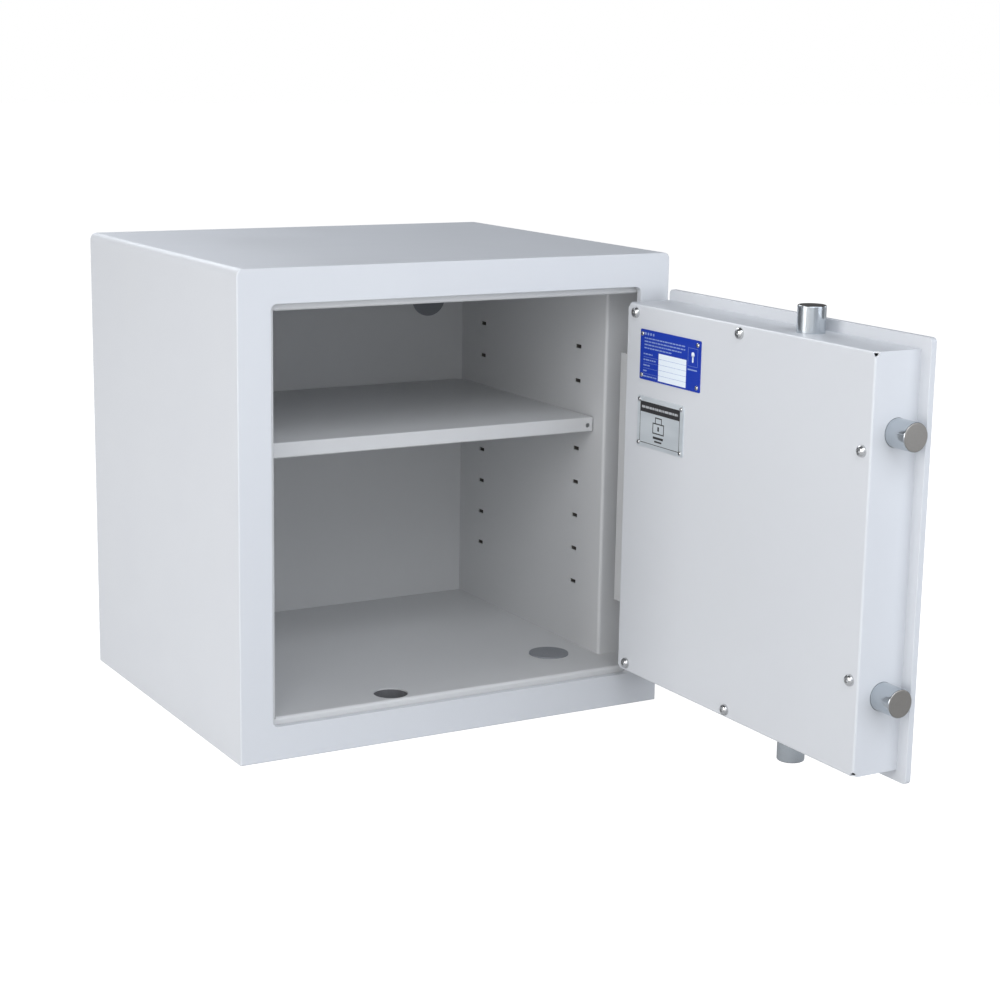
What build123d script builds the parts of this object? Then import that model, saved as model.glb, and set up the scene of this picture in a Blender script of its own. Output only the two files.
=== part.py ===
from build123d import *
import os
from math import cos, radians, sin, sqrt

# Double-walled steel cabinet safe with a flush single door, drawn in millimetres.
# X runs to the right seen from the front, Z up, and Y = 0 is the front face while a piece is drawn.
# The door and all that it carries are drawn closed, and then swung open about the hinge axis.

# Cabinet
body_w, body_h, body_d = 450, 450, 380
mid_z = body_h / 2
shell_t = 2                                  # sheet of the outer wrap
shell_r = 6.5                                # outside radius of the wrap's two top bends
base_t = 3                                   # base and rear plates
frame_t = 6.5                                # front frame plate
mouth = 386                                  # square door opening in the frame
mouth_r = 6
liner_t = 1.5
liner_bend = 3
liner_gap = 0.8                              # shadow gap between the frame and the liner's bent edge
liner_y = frame_t + liner_gap
lip_depth = 33                               # how far the liner's flanges reach behind the frame
cavity_half = 187                            # half the width between the side liners
cavity_z = (39, 411)                         # floor and ceiling of the cavity
cavity_back = 344                            # inner face of the rear liner
pocket_y = 50                                # the hinge pocket ends here, behind the frame

# Anchor holes and the shelf
anchor_x = 144
anchor_floor_y = 115                         # floor holes lie this far in front of and behind the middle
anchor_rear_z = 372.5
anchor_r = 7                                 # for M12 anchors
plug_r = 20
plug_rise = 1.5                              # the caps stand this proud of the liner
slot_pitch = 34.75
slot_rows = 8
slot_first_z = 104.6
slot_columns = (101.5, 296.5)
slot_w, slot_h = 11, 4
slot_depth = 10                              # room for the clips' hooks in the filling behind
shelf_row = 5                                # the row of slots that holds the shelf
shelf_front, shelf_t, shelf_lip = 69, 1.2, 14.5
shelf_half = 185.5

# Door
hinge_x, hinge_y = 211, 13.5                 # vertical pivot axis, inside the right-hand wall
plate_t = 6
plate_x = (-190.5, 186.5)
plate_h = 382
plate_r = 4
cover_x = (-178.5, 186.3)
cover_h = 361
cover_back = 53.5                            # rear face of the cover behind the door's outer face
cover_t = 1.5
cover_bend = 2
corner_relief_r = 4.4                        # notch where three folds meet
bolt_hole_r = 12.75
screw_u = (15.3, 180.8, 354.3)                   # cover screws, measured from the cover's hinge side
screw_dz = (172.5, 173, 97.5)                # and up and down from the middle height
standoff_r = 5
head_h = 4
label_t = 0.8                                # the two name plates on the cover
data_plate_u, data_plate_z = (24.8, 123.3), (336, 383.5)
mark_plate_u, mark_plate_z = (23.3, 99.3), (272, 320)

# Hinges
pin_r = 4
boss_r = 6.5
running = 0.05                               # radial clearance of every turning or sliding fit
arm_h = 24
arm_y = 38.5
arm_z = (364, 62)                            # underside of the upper and the lower arm

# Boltwork
bolt_r = 12.5
bolt_y = 27                                  # depth of all four bolt axes behind the outer face
throw = 24
bolt_chamfer = 1.2
receiver_r = 16.5                            # cups in the liner that take the thrown bolts
cup_t, cup_depth = 1, 22
side_bolt_dz = 112.5
side_bolt_length = 70
end_bolt_length = 55
spindle_x = -60                              # the handle, in line with the top and bottom bolts
spindle_r = 6
crank_r = throw / sqrt(2)                    # a quarter turn of this crank is one throw
crank_pin_r = 4
rod_y = (18, 22)                             # layer of the two vertical rods
disc_y = (23, 29)
carrier_y = (31, 36)                         # layer of the side bolts' carrier
bracket_x = (-176, -156)                     # the side bolts' guide channel
bracket_y = 46                               # height of the guide channels' webs off the outer face
bracket_t = 4
slot_play = 0.65                             # half the free play of a crank pin in its slot

# Lock
lock_x, key_z = 5, 165
lock_case_x = (-30, 40)
lock_case_z = (132, 212)
lock_case_y = (12, 40)
lock_bolt_y = (30, 37)
lock_wall = 2
lock_bolt_w = 14


def block(x, y, z):
    """A box from three (low, high) pairs."""
    size = [b - a for a, b in (x, y, z)]
    centre = [(a + b) / 2 for a, b in (x, y, z)]
    return Pos(*centre) * Box(*size)


def round_x(r, x, y, z):
    return Pos((x[0] + x[1]) / 2, y, z) * Rot(0, 90, 0) * Cylinder(r, x[1] - x[0])


def round_y(r, x, y, z):
    return Pos(x, (y[0] + y[1]) / 2, z) * Rot(90, 0, 0) * Cylinder(r, y[1] - y[0])


def round_z(r, x, y, z):
    return Pos(x, y, (z[0] + z[1]) / 2) * Cylinder(r, z[1] - z[0])


def plan(points, z):
    """A prism on an outline of (x, y) points, from z[0] to z[1]."""
    return Pos(0, 0, z[0]) * extrude(make_face(Polyline(*points, close=True)), z[1] - z[0])


def elevation(points, y):
    """A prism on an outline of (x, z) points, from y[0] to y[1]."""
    outline = make_face(Polyline(*[(x, y[0], z) for x, z in points], close=True))
    return extrude(outline, y[1] - y[0], dir=(0, 1, 0))


def edges_at(part, axis, **where):
    """The edges along an axis whose middles lie at the given x, y or z."""
    def fits(edge):
        middle = edge.center()
        return all(abs(getattr(middle, k.upper()) - v) < 0.01 for k, v in where.items())
    return [edge for edge in part.edges().filter_by(axis) if fits(edge)]


# ---------------------------------------------------------------- cabinet

def outer_shell():
    outside = block((-body_w / 2, body_w / 2), (frame_t, body_d), (0, body_h))
    outside = fillet(edges_at(outside, Axis.Y, z=body_h), shell_r)
    half = body_w / 2 - shell_t
    inside = block((-half, half), (frame_t, body_d), (0, body_h - shell_t))
    inside = fillet(edges_at(inside, Axis.Y, z=body_h - shell_t), shell_r - shell_t)
    return outside - inside


def front_frame():
    plate = block((-body_w / 2, body_w / 2), (0, frame_t), (0, body_h))
    plate = fillet(edges_at(plate, Axis.Y, z=body_h), shell_r)
    plate = fillet(plate.faces().sort_by(Axis.Y)[0].edges(), 1.2)
    hole = block((-mouth / 2, mouth / 2), (-1, frame_t + 1), (mid_z - mouth / 2, mid_z + mouth / 2))
    hole = fillet(hole.edges().filter_by(Axis.Y), mouth_r)
    plate -= hole
    rim = [e for e in plate.faces().sort_by(Axis.Y)[0].edges() if e.bounding_box().size.length < mouth + 1
           and abs(e.center().X) <= mouth / 2 and abs(e.center().Z - mid_z) <= mouth / 2]
    return fillet(rim, 0.6)


def floor_anchor_places():
    return [(anchor_x, body_d / 2 - anchor_floor_y), (-anchor_x, body_d / 2 + anchor_floor_y)]


def base_plate():
    half = body_w / 2 - shell_t
    plate = block((-half, half), (frame_t, body_d), (0, base_t))
    for x, y in floor_anchor_places():
        plate -= round_z(anchor_r, x, y, (-1, base_t + 1))
    return plate


def rear_plate():
    half = body_w / 2 - shell_t
    plate = block((-half, half), (body_d - base_t, body_d), (base_t, body_h - shell_t))
    plate = fillet(edges_at(plate, Axis.Y, z=body_h - shell_t), shell_r - shell_t)
    for side in (-1, 1):
        plate -= round_y(anchor_r, side * anchor_x, (body_d - base_t - 1, body_d + 1), anchor_rear_z)
    return plate


def cup(axis_place):
    """A drawn cup for a thrown bolt, its mouth at z = 0 and the rest below."""
    shape = round_z(receiver_r + cup_t, 0, 0, (-cup_depth, 0)) - round_z(receiver_r, 0, 0, (cup_t - cup_depth, 1))
    return axis_place * shape


def level_liner(inner_z, toward):
    """The floor or the ceiling, a sheet whose front edge is bent away from the cavity."""
    skin = sorted((inner_z, inner_z + toward * liner_t))
    lip = sorted((inner_z, inner_z + toward * lip_depth))
    half = body_w / 2 - shell_t
    sheet = block((-cavity_half, cavity_half), (liner_y, cavity_back), skin)
    sheet += block((cavity_half, half), (liner_y, pocket_y + liner_t), skin)
    sheet += block((-cavity_half, half), (liner_y, liner_y + liner_t), lip)
    sheet = fillet(edges_at(sheet, Axis.X, y=liner_y, z=inner_z), liner_bend)
    sheet -= round_z(receiver_r, spindle_x, bolt_y, (skin[0] - 1, skin[1] + 1))
    turn = Rot(0, 0, 0) if toward < 0 else Rot(180, 0, 0)
    return sheet + cup(Pos(spindle_x, bolt_y, inner_z + toward * liner_t) * turn)


def liner_floor():
    sheet = level_liner(cavity_z[0], -1)
    for x, y in floor_anchor_places():
        sheet -= round_z(plug_r, x, y, (cavity_z[0] - 5, cavity_z[0] + 5))
    return sheet


def liner_ceiling():
    return level_liner(cavity_z[1], 1)


def shelf_slots(x):
    """Slots for the shelf clips, in two upright columns."""
    slots = []
    for row in range(slot_rows):
        z = slot_first_z + row * slot_pitch
        for y in slot_columns:
            slots.append(block(x, (y - slot_w / 2, y + slot_w / 2), (z - slot_h / 2, z + slot_h / 2)))
    return slots


def liner_left():
    wall_x = (-cavity_half - liner_t, -cavity_half)
    tall = (cavity_z[0] - liner_t, cavity_z[1] + liner_t)
    sheet = block(wall_x, (liner_y, cavity_back), tall)
    sheet += block((shell_t - body_w / 2, -cavity_half), (liner_y, liner_y + liner_t), tall)
    sheet = fillet(edges_at(sheet, Axis.Z, x=-cavity_half, y=liner_y), liner_bend)
    corner_x = (shell_t - body_w / 2, -cavity_half)
    for z in ((cavity_z[0] - lip_depth, tall[0]), (tall[1], cavity_z[1] + lip_depth)):
        sheet += block(corner_x, (liner_y, liner_y + liner_t), z)
    for side in (-1, 1):
        z = mid_z + side * side_bolt_dz
        sheet -= round_x(receiver_r, (wall_x[0] - 1, wall_x[1] + 1), bolt_y, z)
        sheet += cup(Pos(wall_x[0], bolt_y, z) * Rot(0, 90, 0))
    for slot in shelf_slots((wall_x[0] - 1, wall_x[1] + 1)):
        sheet -= slot
    return sheet


def liner_right():
    """The hinge side, bent outwards behind the pocket that holds the hinges."""
    wall_x = (cavity_half, cavity_half + liner_t)
    sheet = block(wall_x, (pocket_y, cavity_back), cavity_z)
    sheet += block((cavity_half, body_w / 2 - shell_t), (pocket_y, pocket_y + liner_t), cavity_z)
    sheet = fillet(edges_at(sheet, Axis.Z, x=cavity_half, y=pocket_y), liner_bend)
    for slot in shelf_slots((wall_x[0] - 1, wall_x[1] + 1)):
        sheet -= slot
    return sheet


def liner_rear():
    half = cavity_half + liner_t
    tall = (cavity_z[0] - liner_t, cavity_z[1] + liner_t)
    sheet = block((-half, half), (cavity_back, cavity_back + liner_t), tall)
    for side in (-1, 1):
        sheet -= round_y(plug_r, side * anchor_x, (cavity_back - 1, cavity_back + 3), anchor_rear_z)
    return sheet


def filling_level(z, pocket_z):
    """Barrier filling over the ceiling or under the floor, with a pocket for the bolt."""
    half = body_w / 2 - shell_t
    slab = block((-half, half), (liner_y + liner_t, body_d - base_t), z)
    return slab - round_z(receiver_r + cup_t, spindle_x, bolt_y, pocket_z)


def filling_bottom():
    low, high = base_t, cavity_z[0] - liner_t
    slab = filling_level((low, high), (high - cup_depth, high + 1))
    for x, y in floor_anchor_places():
        slab -= round_z(plug_r, x, y, (low - 1, high + 1))
    return slab


def filling_top():
    low, high = cavity_z[1] + liner_t, body_h - shell_t
    slab = filling_level((low, high), (low - 1, low + cup_depth))
    return fillet(edges_at(slab, Axis.Y, z=high), shell_r - shell_t)


def filling_left():
    x = (shell_t - body_w / 2, -cavity_half - liner_t)
    tall = (cavity_z[0] - liner_t, cavity_z[1] + liner_t)
    slab = block(x, (liner_y + liner_t, body_d - base_t), tall)
    for side in (-1, 1):
        slab -= round_x(receiver_r + cup_t, (x[1] - cup_depth, x[1] + 1), bolt_y, mid_z + side * side_bolt_dz)
    for slot in shelf_slots((x[1] - slot_depth, x[1] + 1)):
        slab -= slot
    return slab


def filling_right():
    x = (cavity_half + liner_t, body_w / 2 - shell_t)
    tall = (cavity_z[0] - liner_t, cavity_z[1] + liner_t)
    slab = block(x, (pocket_y + liner_t, body_d - base_t), tall)
    for slot in shelf_slots((x[0] - 1, x[0] + slot_depth)):
        slab -= slot
    return slab


def filling_rear():
    half = cavity_half + liner_t
    tall = (cavity_z[0] - liner_t, cavity_z[1] + liner_t)
    slab = block((-half, half), (cavity_back + liner_t, body_d - base_t), tall)
    for side in (-1, 1):
        slab -= round_y(plug_r, side * anchor_x, (cavity_back, body_d), anchor_rear_z)
    return slab


def cap():
    """A push-in cap, its face upwards at z = 0."""
    disc = round_z(plug_r - 0.1, 0, 0, (-6, plug_rise))
    disc = fillet(disc.edges().group_by(Axis.Z)[-1], 0.4)
    return disc - round_z(plug_r - 2, 0, 0, (-7, -2))


def floor_anchor_plugs():
    return [Pos(x, y, cavity_z[0]) * cap() for x, y in floor_anchor_places()]


def rear_anchor_plugs():
    return [Pos(s * anchor_x, cavity_back, anchor_rear_z) * Rot(90, 0, 0) * cap() for s in (-1, 1)]


def keeper_bar():
    """The upright strip behind the frame that the door's dog bar closes behind."""
    return block((194.5, 198.5), (frame_t, 34), (100, 350))


# ---------------------------------------------------------------- hinges

def hinge_lugs(low):
    """Two lugs behind the frame, one under and one over the door's arm."""
    lugs = []
    for z in ((low - 11.3, low - 1.3), (low + arm_h + 0.5, low + arm_h + 10.5)):
        lug = block((hinge_x - 8, hinge_x + 8), (frame_t, hinge_y), z)
        lug += round_z(8, hinge_x, hinge_y, z)
        lug &= block((hinge_x - 8, hinge_x + 8), (frame_t, hinge_y + 8), z)
        lugs.append(lug - round_z(pin_r, hinge_x, hinge_y, (z[0] - 1, z[1] + 1)))
    return lugs


def hinge_pin(low):
    top = low + arm_h + 10.5
    return round_z(pin_r, hinge_x, hinge_y, (low - 11.3, top)) + round_z(6, hinge_x, hinge_y, (top, top + 2))


def hinge_washer(low):
    ring = round_z(boss_r, hinge_x, hinge_y, (low - 1.3, low - 0.3))
    return ring - round_z(pin_r, hinge_x, hinge_y, (low - 2, low))


def hinge_arm(low):
    """A cranked arm that reaches round the frame's edge from the door to the pin."""
    outline = [
        (160, plate_t), (160, arm_y), (202.5, arm_y), (210, 36), (217.5, 24.5),
        (217.5, hinge_y), (204.5, hinge_y), (204.5, 32.5), (182, 32.5), (182, plate_t),
    ]
    z = (low, low + arm_h)
    arm = plan(outline, z) + round_z(boss_r, hinge_x, hinge_y, z)
    return arm - round_z(pin_r + running, hinge_x, hinge_y, (low - 1, low + arm_h + 1))


# ---------------------------------------------------------------- shelf

def shelf():
    top = shelf_top()
    plate = block((-shelf_half, shelf_half), (shelf_front, cavity_back - 1), (top - shelf_t, top))
    front = block((-shelf_half, shelf_half), (shelf_front, shelf_front + shelf_t), (top - shelf_lip, top))
    hem = block((-shelf_half, shelf_half), (shelf_front, shelf_front + 9),
                (top - shelf_lip, top - shelf_lip + shelf_t))
    rear_lip = block((-shelf_half, shelf_half), (cavity_back - 1 - shelf_t, cavity_back - 1), (top - 12, top))
    tray = plate + front + hem + rear_lip
    for z in (top, top - shelf_lip):
        tray = fillet(edges_at(tray, Axis.X, y=shelf_front, z=z), 1.4)
    tray = fillet(edges_at(tray, Axis.X, y=cavity_back - 1, z=top), 1.1)
    for side in (-1, 1):
        tray -= round_y(2.4, side * (shelf_half - 5.5), (shelf_front - 1, shelf_front + 3), top - 8.2)
    return tray


def shelf_top():
    return slot_first_z + shelf_row * slot_pitch + 1 + shelf_t + 0.3


def shelf_clips():
    """Bent clips hooked into the slots, with a ledge under the shelf."""
    z = slot_first_z + shelf_row * slot_pitch
    clips = []
    for side in (-1, 1):
        for y in slot_columns:
            wide = (y - 4, y + 4)
            ledge = block(sorted((side * (cavity_half - 13), side * cavity_half)), wide, (z - 0.7, z + 1.3))
            hook = block(sorted((side * cavity_half, side * (cavity_half + liner_t))), wide, (z - 0.7, z + 1.3))
            leg = block(sorted((side * (cavity_half - 2), side * cavity_half)), wide, (z - 11, z - 0.7))
            clips.append(ledge + hook + leg)
    return clips


# ---------------------------------------------------------------- door

def spread(x, y, z, w, h):
    """A box of width w along X and height h along Z, centred on x and z."""
    return block((x - w / 2, x + w / 2), y, (z - h / 2, z + h / 2))


def keyhole(y):
    return round_y(4.3, lock_x, y, key_z) + spread(lock_x, y, key_z, 3.4, 24)


def door_plate():
    plate = block(plate_x, (0, plate_t), (mid_z - plate_h / 2, mid_z + plate_h / 2))
    plate = fillet(plate.edges().filter_by(Axis.Y), plate_r)
    plate = fillet(plate.faces().sort_by(Axis.Y)[0].edges(), 1)
    plate = fillet(plate.faces().sort_by(Axis.Y)[-1].edges(), 0.5)
    plate -= round_y(spindle_r + 1, spindle_x, (-1, plate_t + 1), mid_z)
    return plate - keyhole((-1, plate_t + 1))


def cover_screw_places():
    places = []
    for u, dz in zip(screw_u, screw_dz):
        for side in (1, -1):
            places.append((cover_x[1] - u, mid_z + side * dz))
    return places


def door_cover():
    """A folded pan over the boltwork, open towards the door plate."""
    z = (mid_z - cover_h / 2, mid_z + cover_h / 2)
    pan = block(cover_x, (plate_t, cover_back), z)
    pan = fillet(pan.faces().sort_by(Axis.Y)[-1].edges(), cover_bend)
    inner_x = (cover_x[0] + cover_t, cover_x[1] - cover_t)
    pan -= block(inner_x, (plate_t - 1, cover_back - cover_t), (z[0] + cover_t, z[1] - cover_t))
    for x in cover_x:
        for corner in z:
            pan -= Pos(x, cover_back, corner) * Sphere(corner_relief_r)
    for side in (-1, 1):
        pan -= round_x(bolt_hole_r, (cover_x[0] - 1, cover_x[0] + 3), bolt_y, mid_z + side * side_bolt_dz)
    for end in z:
        pan -= round_z(bolt_hole_r, spindle_x, bolt_y, (end - 3, end + 3))
    for low in arm_z:
        pan -= block((cover_x[1] - 3, cover_x[1] + 1), (plate_t - 1, arm_y + 0.7), (low - 1, low + arm_h + 1))
    pan -= block((cover_x[1] - 3, cover_x[1] + 1), (plate_t - 1, 45.5), (104.5, 345.5))
    for x, place_z in cover_screw_places():
        pan -= round_y(3.2, x, (cover_back - 3, cover_back + 1), place_z)
    return pan


def cover_screws():
    """M6 button-head screws with a hexagon socket."""
    screws = []
    for x, z in cover_screw_places():
        head = round_y(5.25, x, (cover_back, cover_back + head_h), z)
        head = fillet(head.edges().group_by(Axis.Y)[-1], 3.2)
        socket = Pos(x, cover_back + head_h - 2, z) * Rot(-90, 0, 0) * extrude(RegularPolygon(2, 6), 3)
        screws.append(head + round_y(3, x, (cover_back - 12, cover_back), z) - socket)
    return screws


def cover_standoffs():
    """Tapped posts on the door plate; beside the side bolts they are lugs across the bracket's webs."""
    posts = []
    for x, z in cover_screw_places():
        if x < bracket_x[1]:
            post = block(bracket_x, (bracket_y, cover_back - cover_t), (z - standoff_r, z + standoff_r))
        else:
            post = round_y(standoff_r, x, (plate_t, cover_back - cover_t), z)
        posts.append(post - round_y(3, x, (cover_back - 12, cover_back), z))
    return posts


def dog_bar():
    """A fixed strip on the hinge side that closes behind the keeper bar."""
    outline = [(178, plate_t), (178, 45), (197.5, 45), (197.5, 38), (185, 38), (185, plate_t)]
    return plan(outline, (105, 345))


def face_plate(u, z):
    """A thin name plate on the cover's rear face; u runs from the cover's hinge side."""
    x = (cover_x[1] - u[1], cover_x[1] - u[0])
    plate = block(x, (cover_back, cover_back + label_t), z)
    return fillet(plate.edges().filter_by(Axis.Y), 1.5)


def data_plate():
    return face_plate(data_plate_u, data_plate_z)


def mark_plate():
    return face_plate(mark_plate_u, mark_plate_z)


def plate_rivets():
    """Dome-headed rivets at the corners of both name plates."""
    rivets = []
    for u, z, inset in ((data_plate_u, data_plate_z, 4.2), (mark_plate_u, mark_plate_z, 3.4)):
        for a in (u[0] + inset, u[1] - inset):
            for b in (z[0] + inset, z[1] - inset):
                head = round_y(2.2, cover_x[1] - a, (cover_back + label_t, cover_back + label_t + 1.4), b)
                rivets.append(fillet(head.edges().group_by(Axis.Y)[-1], 1.1))
    return rivets


# ---------------------------------------------------------------- boltwork

def hard_plate():
    """A hardened plate between the door plate and the lock."""
    plate = block((-92, 48), (plate_t, lock_case_y[0]), (131, 262))
    plate -= round_y(11, spindle_x, (plate_t - 1, lock_case_y[0] + 1), mid_z)
    return plate - keyhole((plate_t - 1, lock_case_y[0] + 1))


def spindle_bush():
    bush = round_y(10.5, spindle_x, (plate_t, 15), mid_z)
    return bush - round_y(spindle_r + running, spindle_x, (plate_t - 1, 16), mid_z)


def side_bolt_bracket():
    """A channel on the door plate whose two webs guide the side bolts."""
    tall = (mid_z - 140, mid_z + 140)
    channel = block(bracket_x, (plate_t, plate_t + bracket_t), tall)
    for x in ((bracket_x[0], bracket_x[0] + bracket_t), (bracket_x[1] - bracket_t, bracket_x[1])):
        channel += block(x, (plate_t, bracket_y), tall)
    for side in (-1, 1):
        channel -= round_x(bolt_r + running, (-180, -150), bolt_y, mid_z + side * side_bolt_dz)
    return channel


def end_bolt_bracket(side):
    """A channel that guides the top bolt (side = 1) or the bottom bolt (side = -1)."""
    def span(a, b):
        return sorted((mid_z + side * a, mid_z + side * b))
    wide = (spindle_x - 24, spindle_x + 24)
    channel = block(wide, (plate_t, plate_t + bracket_t), span(156, 176))
    for reach in ((156, 156 + bracket_t), (176 - bracket_t, 176)):
        channel += block(wide, (plate_t, bracket_y), span(*reach))
    return channel - round_z(bolt_r + running, spindle_x, bolt_y, span(150, 180))


def side_bolt(side):
    """A round bolt, slotted at its inner end for the carrier."""
    outer = cover_x[0] - throw
    inner = outer + side_bolt_length
    z = mid_z + side * side_bolt_dz
    bolt = round_x(bolt_r, (outer, inner), bolt_y, z)
    bolt = fillet(bolt.edges().filter_by(GeomType.CIRCLE).group_by(Axis.X)[0], bolt_chamfer)
    return bolt - block((inner - 21.5, inner + 1), carrier_y, (z - bolt_r - 1, z + bolt_r + 1))


def end_bolt(side):
    """The top bolt, or the bottom one as its half turn about the spindle."""
    top = mid_z + cover_h / 2 + throw
    low = top - end_bolt_length
    bolt = round_z(bolt_r, spindle_x, bolt_y, (low, top))
    bolt = fillet(bolt.edges().filter_by(GeomType.CIRCLE).group_by(Axis.Z)[-1], bolt_chamfer)
    bolt -= block((spindle_x - 6, spindle_x + 8), rod_y, (low - 1, low + 15))
    return bolt if side > 0 else half_turn(bolt)


def half_turn(piece):
    return Pos(spindle_x, 0, mid_z) * Rot(0, 180, 0) * Pos(-spindle_x, 0, -mid_z) * piece


def end_rod(side):
    """A flat rod whose open fork is driven by a crank pin."""
    pin_z = crank_r * sin(radians(45))
    gap = crank_pin_r + slot_play
    slot_x = crank_r + gap
    fork_x = slot_x + 4.5
    top = cover_h / 2 + throw - end_bolt_length + 15
    outline = [
        (6.8, 1.5), (fork_x, 1.5), (fork_x, 42), (8, 48), (8, top), (-6, top), (-6, 31), (6.8, 31),
        (6.8, pin_z + gap), (slot_x, pin_z + gap), (slot_x, pin_z - gap), (6.8, pin_z - gap),
    ]
    rod = elevation([(spindle_x + x, mid_z + z) for x, z in outline], rod_y)
    return rod if side > 0 else half_turn(rod)


def rod_guides():
    """Saddles that hold the two flat rods beside the top and bottom brackets."""
    saddle = block((spindle_x - 12, spindle_x + 14), (plate_t, rod_y[1] + 4), (mid_z + 96, mid_z + 106))
    saddle -= block((spindle_x - 6.3, spindle_x + 8.3), (rod_y[0] - 0.3, rod_y[1] + 0.3),
                    (mid_z + 95, mid_z + 107))
    return [saddle, half_turn(saddle)]


def side_carrier():
    """The bar that joins the two side bolts, with a slotted tongue for the crank pin."""
    bar_x = (-90, -68.5)
    pin_x, pin_z = -crank_r * cos(radians(45)), crank_r * sin(radians(45))
    gap = crank_pin_r + slot_play
    through = (carrier_y[0] - 1, carrier_y[1] + 1)
    outline = [
        (bar_x[0], -130), (bar_x[1], -130), (bar_x[1], 0), (20, 0), (20, -9), (82, -9),
        (82, 27), (bar_x[1], 27), (bar_x[1], 130), (bar_x[0], 130),
    ]
    bar = elevation([(spindle_x + x, mid_z + z) for x, z in outline], carrier_y)
    slot_z = (mid_z + pin_z - gap, mid_z + crank_r + gap)
    bar -= block((spindle_x + pin_x - gap, spindle_x + pin_x + gap), through, slot_z)
    for shift in (0, -throw):
        centre = lock_x + shift
        half = lock_bolt_w / 2 + 0.5
        bar -= block((centre - half, centre + half), through, (mid_z - 10, mid_z + 2))
    return bar


def spindle():
    """From the handle's hub to the crank disc."""
    return round_y(spindle_r, spindle_x, (-24, disc_y[1]), mid_z)


def cam_disc():
    disc = round_y(crank_r + crank_pin_r + 3, spindle_x, disc_y, mid_z)
    return disc - round_y(spindle_r, spindle_x, (disc_y[0] - 1, disc_y[1] + 1), mid_z)


def cam_pins():
    """Two pins forwards for the rods and one backwards for the carrier."""
    pins = []
    for angle, y in ((45, (rod_y[0] - 0.5, disc_y[0])), (225, (rod_y[0] - 0.5, disc_y[0])),
                     (135, (disc_y[1], carrier_y[1] + 0.5))):
        x = spindle_x + crank_r * cos(radians(angle))
        z = mid_z + crank_r * sin(radians(angle))
        pins.append(round_y(crank_pin_r, x, y, z))
    return pins


def handle():
    """A lever handle: a round hub and a rounded, slightly tapered grip."""
    hub = round_y(15, spindle_x, (-30, -5.4), mid_z)
    hub = fillet(hub.edges().group_by(Axis.Y)[0], 3)
    grip = loft([Pos(spindle_x, -19, mid_z) * Ellipse(11, 7.5),
                 Pos(spindle_x, -22, mid_z + 108) * Ellipse(8, 6)])
    tip = Pos(spindle_x, -22, mid_z + 108) * scale(Sphere(1), (8, 6, 8))
    lever = hub + grip + tip
    return lever - round_y(spindle_r, spindle_x, (-24, 0), mid_z)


def rosette(x, z, r):
    ring = round_y(r, x, (-5, 0), z)
    return fillet(ring.edges().group_by(Axis.Y)[0], 1.5)


def handle_rosette():
    return rosette(spindle_x, mid_z, 25) - round_y(spindle_r + 0.5, spindle_x, (-6, 1), mid_z)


def key_escutcheon():
    return rosette(lock_x, key_z, 19) - keyhole((-6, 1))


# ---------------------------------------------------------------- lock

def lock_case():
    box = block(lock_case_x, lock_case_y, lock_case_z)
    box = fillet(box.edges().filter_by(Axis.Y), 4)
    box -= block((lock_case_x[0] + lock_wall, lock_case_x[1] - lock_wall),
                 (lock_case_y[0] + lock_wall, lock_case_y[1] + 1),
                 (lock_case_z[0] + lock_wall, lock_case_z[1] - lock_wall))
    box -= keyhole((lock_case_y[0] - 1, lock_case_y[0] + 3))
    half = lock_bolt_w / 2 + 0.3
    mouth_y = (lock_bolt_y[0] - 0.3, lock_bolt_y[1] + 0.3)
    return box - block((lock_x - half, lock_x + half), mouth_y, (lock_case_z[1] - 4, lock_case_z[1] + 1))


def lock_cover():
    lid = block(lock_case_x, (lock_case_y[1], lock_case_y[1] + 2), lock_case_z)
    lid = fillet(lid.edges().filter_by(Axis.Y), 4)
    for x, z in lock_screw_places():
        lid -= round_y(1.5, x, (lock_case_y[1] - 1, lock_case_y[1] + 3), z)
    return lid


def lock_screw_places():
    return [(x, z) for x in (-25.5, 35.5) for z in (136.5, 207.5)]


def lock_screws():
    screws = []
    for x, z in lock_screw_places():
        y = lock_case_y[1]
        head = round_y(2.8, x, (y + 2, y + 4), z)
        shank = round_y(1.5, x, (y - 6, y + 2), z)
        screws.append(head + shank)
    return screws


def lock_bolt():
    return block((lock_x - lock_bolt_w / 2, lock_x + lock_bolt_w / 2), lock_bolt_y, (188, 213))


def lever_pack():
    """Five brass levers above the key's bits."""
    levers = []
    for n in range(5):
        y = 16 + 2.6 * n
        levers.append(block((-18, 28), (y, y + 2.2), (180, 205)))
    return levers


def key():
    """A double-bit key: bow outside, shank through the door, bits among the levers."""
    shank = round_y(4, lock_x, (-44, 32), key_z)
    bits = spread(lock_x, (15.5, 28.5), key_z, 2.6, 22)
    for y in (18.1, 23.3):
        for side in (-1, 1):
            bits -= spread(lock_x, (y, y + 2.6), key_z + side * 10.5, 4, 5)
    bow = spread(lock_x, (-70, -42), key_z, 3, 30)
    bow = fillet(bow.edges().filter_by(Axis.X), 9)
    bow -= Pos(lock_x, -58, key_z) * Rot(0, 90, 0) * Cylinder(5, 10)
    return shank + bits + bow


# ---------------------------------------------------------------- placing and writing

def stand(piece):
    """The origin is the middle of the base."""
    return Pos(0, -body_d / 2, 0) * piece


def swing_open(piece):
    """Turn a piece of the closed door a quarter turn about the hinge axis."""
    axis = Pos(hinge_x, hinge_y, 0)
    return stand(axis * Rot(0, 0, 90) * axis.inverse() * piece)


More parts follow.
